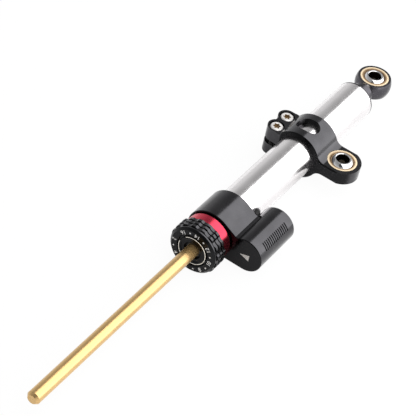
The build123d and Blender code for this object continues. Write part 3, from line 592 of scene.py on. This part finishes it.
def screw_rings():
    """The rings of one screw about its own axis, from the socket's floor to the tip."""
    angles = [tau * index / SCREW_SEGMENTS for index in range(SCREW_SEGMENTS)]
    socket = [SOCKET_RADIUS + SOCKET_LOBE * cos(SOCKET_LOBES * angle) for angle in angles]
    rings = []

    def add_ring(radii, z):
        if not isinstance(radii, list):
            radii = [radii] * SCREW_SEGMENTS
        rings.append([(radius * cos(angle), radius * sin(angle), z)
                      for radius, angle in zip(radii, angles)])

    add_ring(socket, SCREW_TOP_Z - SOCKET_DEPTH)
    add_ring(socket, SCREW_TOP_Z)
    add_ring(SCREW_HEAD_RADIUS - SCREW_HEAD_CHAMFER, SCREW_TOP_Z)
    add_ring(SCREW_HEAD_RADIUS, SCREW_TOP_Z - SCREW_HEAD_CHAMFER)
    add_ring(SCREW_HEAD_RADIUS, SCREW_SEAT_Z)
    add_ring(SCREW_SHANK_RADIUS, SCREW_SEAT_Z)
    add_ring(SCREW_SHANK_RADIUS, SCREW_THREAD_TOP_Z)
    steps = round((SCREW_THREAD_TOP_Z - SCREW_END_Z) / SCREW_PITCH * SCREW_STEPS_PER_PITCH)
    for step in range(1, steps + 1):
        z = SCREW_THREAD_TOP_Z + (SCREW_END_Z - SCREW_THREAD_TOP_Z) * step / steps
        radii = []
        for angle in angles:
            phase = (z / SCREW_PITCH - angle / tau) % 1
            crest = abs(2 * phase - 1)
            radii.append(SCREW_ROOT_RADIUS + (SCREW_SHANK_RADIUS - SCREW_ROOT_RADIUS) * crest)
        add_ring(radii, z)
    return rings


def make_screws(materials):
    """The clamp's two screws, with lobed sockets and rolled threads."""
    shape = bmesh.new()
    for x, y in SCREW_CENTRES:
        rings = [[shape.verts.new((x + px, y + py, z)) for px, py, z in ring]
                 for ring in screw_rings()]
        for ring, following in zip(rings, rings[1:]):
            bridge(shape, ring, following)
        ends = ((rings[0], SCREW_TOP_Z - SOCKET_DEPTH - SOCKET_POINT_DEPTH),
                (rings[-1], SCREW_END_Z))
        for ring, z in ends:
            middle = shape.verts.new((x, y, z))
            for index in range(SCREW_SEGMENTS):
                following = (index + 1) % SCREW_SEGMENTS
                shape.faces.new((middle, ring[index], ring[following]))
    bmesh.ops.recalc_face_normals(shape, faces=shape.faces)
    mesh = close_mesh(shape, "clamp_socket_screws")
    mesh.shade_smooth()
    mesh.set_sharp_from_angle(angle=SCREW_SHARP_ANGLE)
    piece = add_piece("clamp_socket_screws", mesh, materials["screw_steel"], "clamp")
    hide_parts("clamp_screws")


def make_floor():
    """A wide pale floor under the part, seen as white, with a faint shadow."""
    shape = bmesh.new()
    bmesh.ops.create_grid(shape, x_segments=1, y_segments=1, size=FLOOR_HALF_SIZE)
    floor = add_object("floor", close_mesh(shape, "floor"))
    floor.location.z = cad_bounds[0][2]
    material, tree, shader = new_material("floor")
    grain = noise(tree, object_place(tree), FLOOR_GRAIN, FLOOR_DETAIL)
    tree.links.new(tint(tree, grain, FLOOR_DARK, FLOOR_LIGHT), shader.inputs["Base Color"])
    shader.inputs["Roughness"].default_value = FLOOR_ROUGHNESS
    rays = node(tree, "ShaderNodeLightPath")
    seen = combine(tree, "MAXIMUM", rays.outputs["Is Camera Ray"],
                   rays.outputs["Is Transmission Ray"])
    reflected = combine(tree, "MULTIPLY", rays.outputs["Is Glossy Ray"], REFLECTED_SHARE)
    backdrop = node(tree, "ShaderNodeEmission")
    mixed = node(tree, "ShaderNodeMixShader")
    shown = combine(tree, "MAXIMUM", combine(tree, "MULTIPLY", seen, BACKDROP_SHARE), reflected)
    tree.links.new(shown, mixed.inputs[0])
    tree.links.new(shader.outputs[0], mixed.inputs[1])
    tree.links.new(backdrop.outputs[0], mixed.inputs[2])
    tree.links.new(mixed.outputs[0], tree.nodes["Material Output"].inputs["Surface"])
    floor.data.materials.append(material)


def make_light():
    """The soft panel and a sky that is pale at the horizon and dim overhead."""
    outward = Vector((0, cos(PANEL_ANGLE), sin(PANEL_ANGLE)))
    data = bpy.data.lights.new("panel", "AREA")
    data.shape = "RECTANGLE"
    data.size = PANEL_LENGTH
    data.size_y = 2 * PANEL_DISTANCE * tan(PANEL_HALF_ANGLE)
    data.energy = PANEL_RADIANCE * pi * data.size * data.size_y
    panel = add_object("panel", data)
    along = Vector((1, 0, 0))
    turn = Matrix((along, outward.cross(along), outward)).transposed().to_4x4()
    panel.matrix_world = Matrix.Translation(along * PANEL_X + outward * PANEL_DISTANCE) @ turn
    panel.visible_camera = False

    world = bpy.data.worlds.new("studio")
    world.use_nodes = True
    bpy.context.scene.world = world
    tree = world.node_tree
    parts = node(tree, "ShaderNodeSeparateXYZ")
    tree.links.new(node(tree, "ShaderNodeTexCoord").outputs["Generated"], parts.inputs[0])
    stops = [(height, (level, level, level)) for height, level in SKY_LEVELS]
    colours = graded(tree, parts.outputs["Z"], stops)
    tree.links.new(colours, tree.nodes["Background"].inputs["Color"])


def camera_back():
    """The direction from the target to the camera."""
    return Vector((sin(CAMERA_AZIMUTH) * cos(CAMERA_ELEVATION),
                   -cos(CAMERA_AZIMUTH) * cos(CAMERA_ELEVATION),
                   sin(CAMERA_ELEVATION)))


def make_screen():
    """The dark screen round the camera, seen only in polished metal."""
    back = camera_back()
    place = Matrix.Translation(Vector(CAMERA_TARGET) + back * (CAMERA_DISTANCE + SCREEN_GAP))
    shape = bmesh.new()
    bmesh.ops.create_circle(shape, cap_ends=True, segments=SCREEN_SEGMENTS, radius=SCREEN_RADIUS,
                            matrix=place @ back.to_track_quat("Z", "Y").to_matrix().to_4x4())
    screen = add_object("camera_screen", close_mesh(shape, "camera_screen"))
    screen.visible_camera = False
    screen.visible_shadow = False
    screen.visible_diffuse = False
    material, _, shader = new_material("camera_screen")
    shader.inputs["Base Color"].default_value = SCREEN_COLOUR
    shader.inputs["Roughness"].default_value = SCREEN_ROUGHNESS
    screen.data.materials.append(material)


def make_camera():
    """The camera at the photograph's place, turn and focal length."""
    back = camera_back()
    data = bpy.data.cameras.new("camera")
    data.sensor_width = SENSOR_WIDTH
    data.lens = CAMERA_FOCAL_PIXELS * SENSOR_WIDTH / PHOTO_PIXELS
    data.clip_start = CAMERA_CLIP_START
    camera = add_object("camera", data)
    camera.rotation_mode = "QUATERNION"
    camera.rotation_quaternion = back.to_track_quat("Z", "Y") @ Quaternion((0, 0, 1), CAMERA_ROLL)
    camera.location = Vector(CAMERA_TARGET) + back * CAMERA_DISTANCE
    bpy.context.scene.camera = camera


finishes = make_materials()
dress_nodes(finishes)
make_dial_marks(finishes)
make_pointer(finishes)
make_keeper(finishes)
make_screws(finishes)
make_floor()
make_light()
make_screen()
make_camera()
bpy.context.scene.view_settings.view_transform = "Standard"
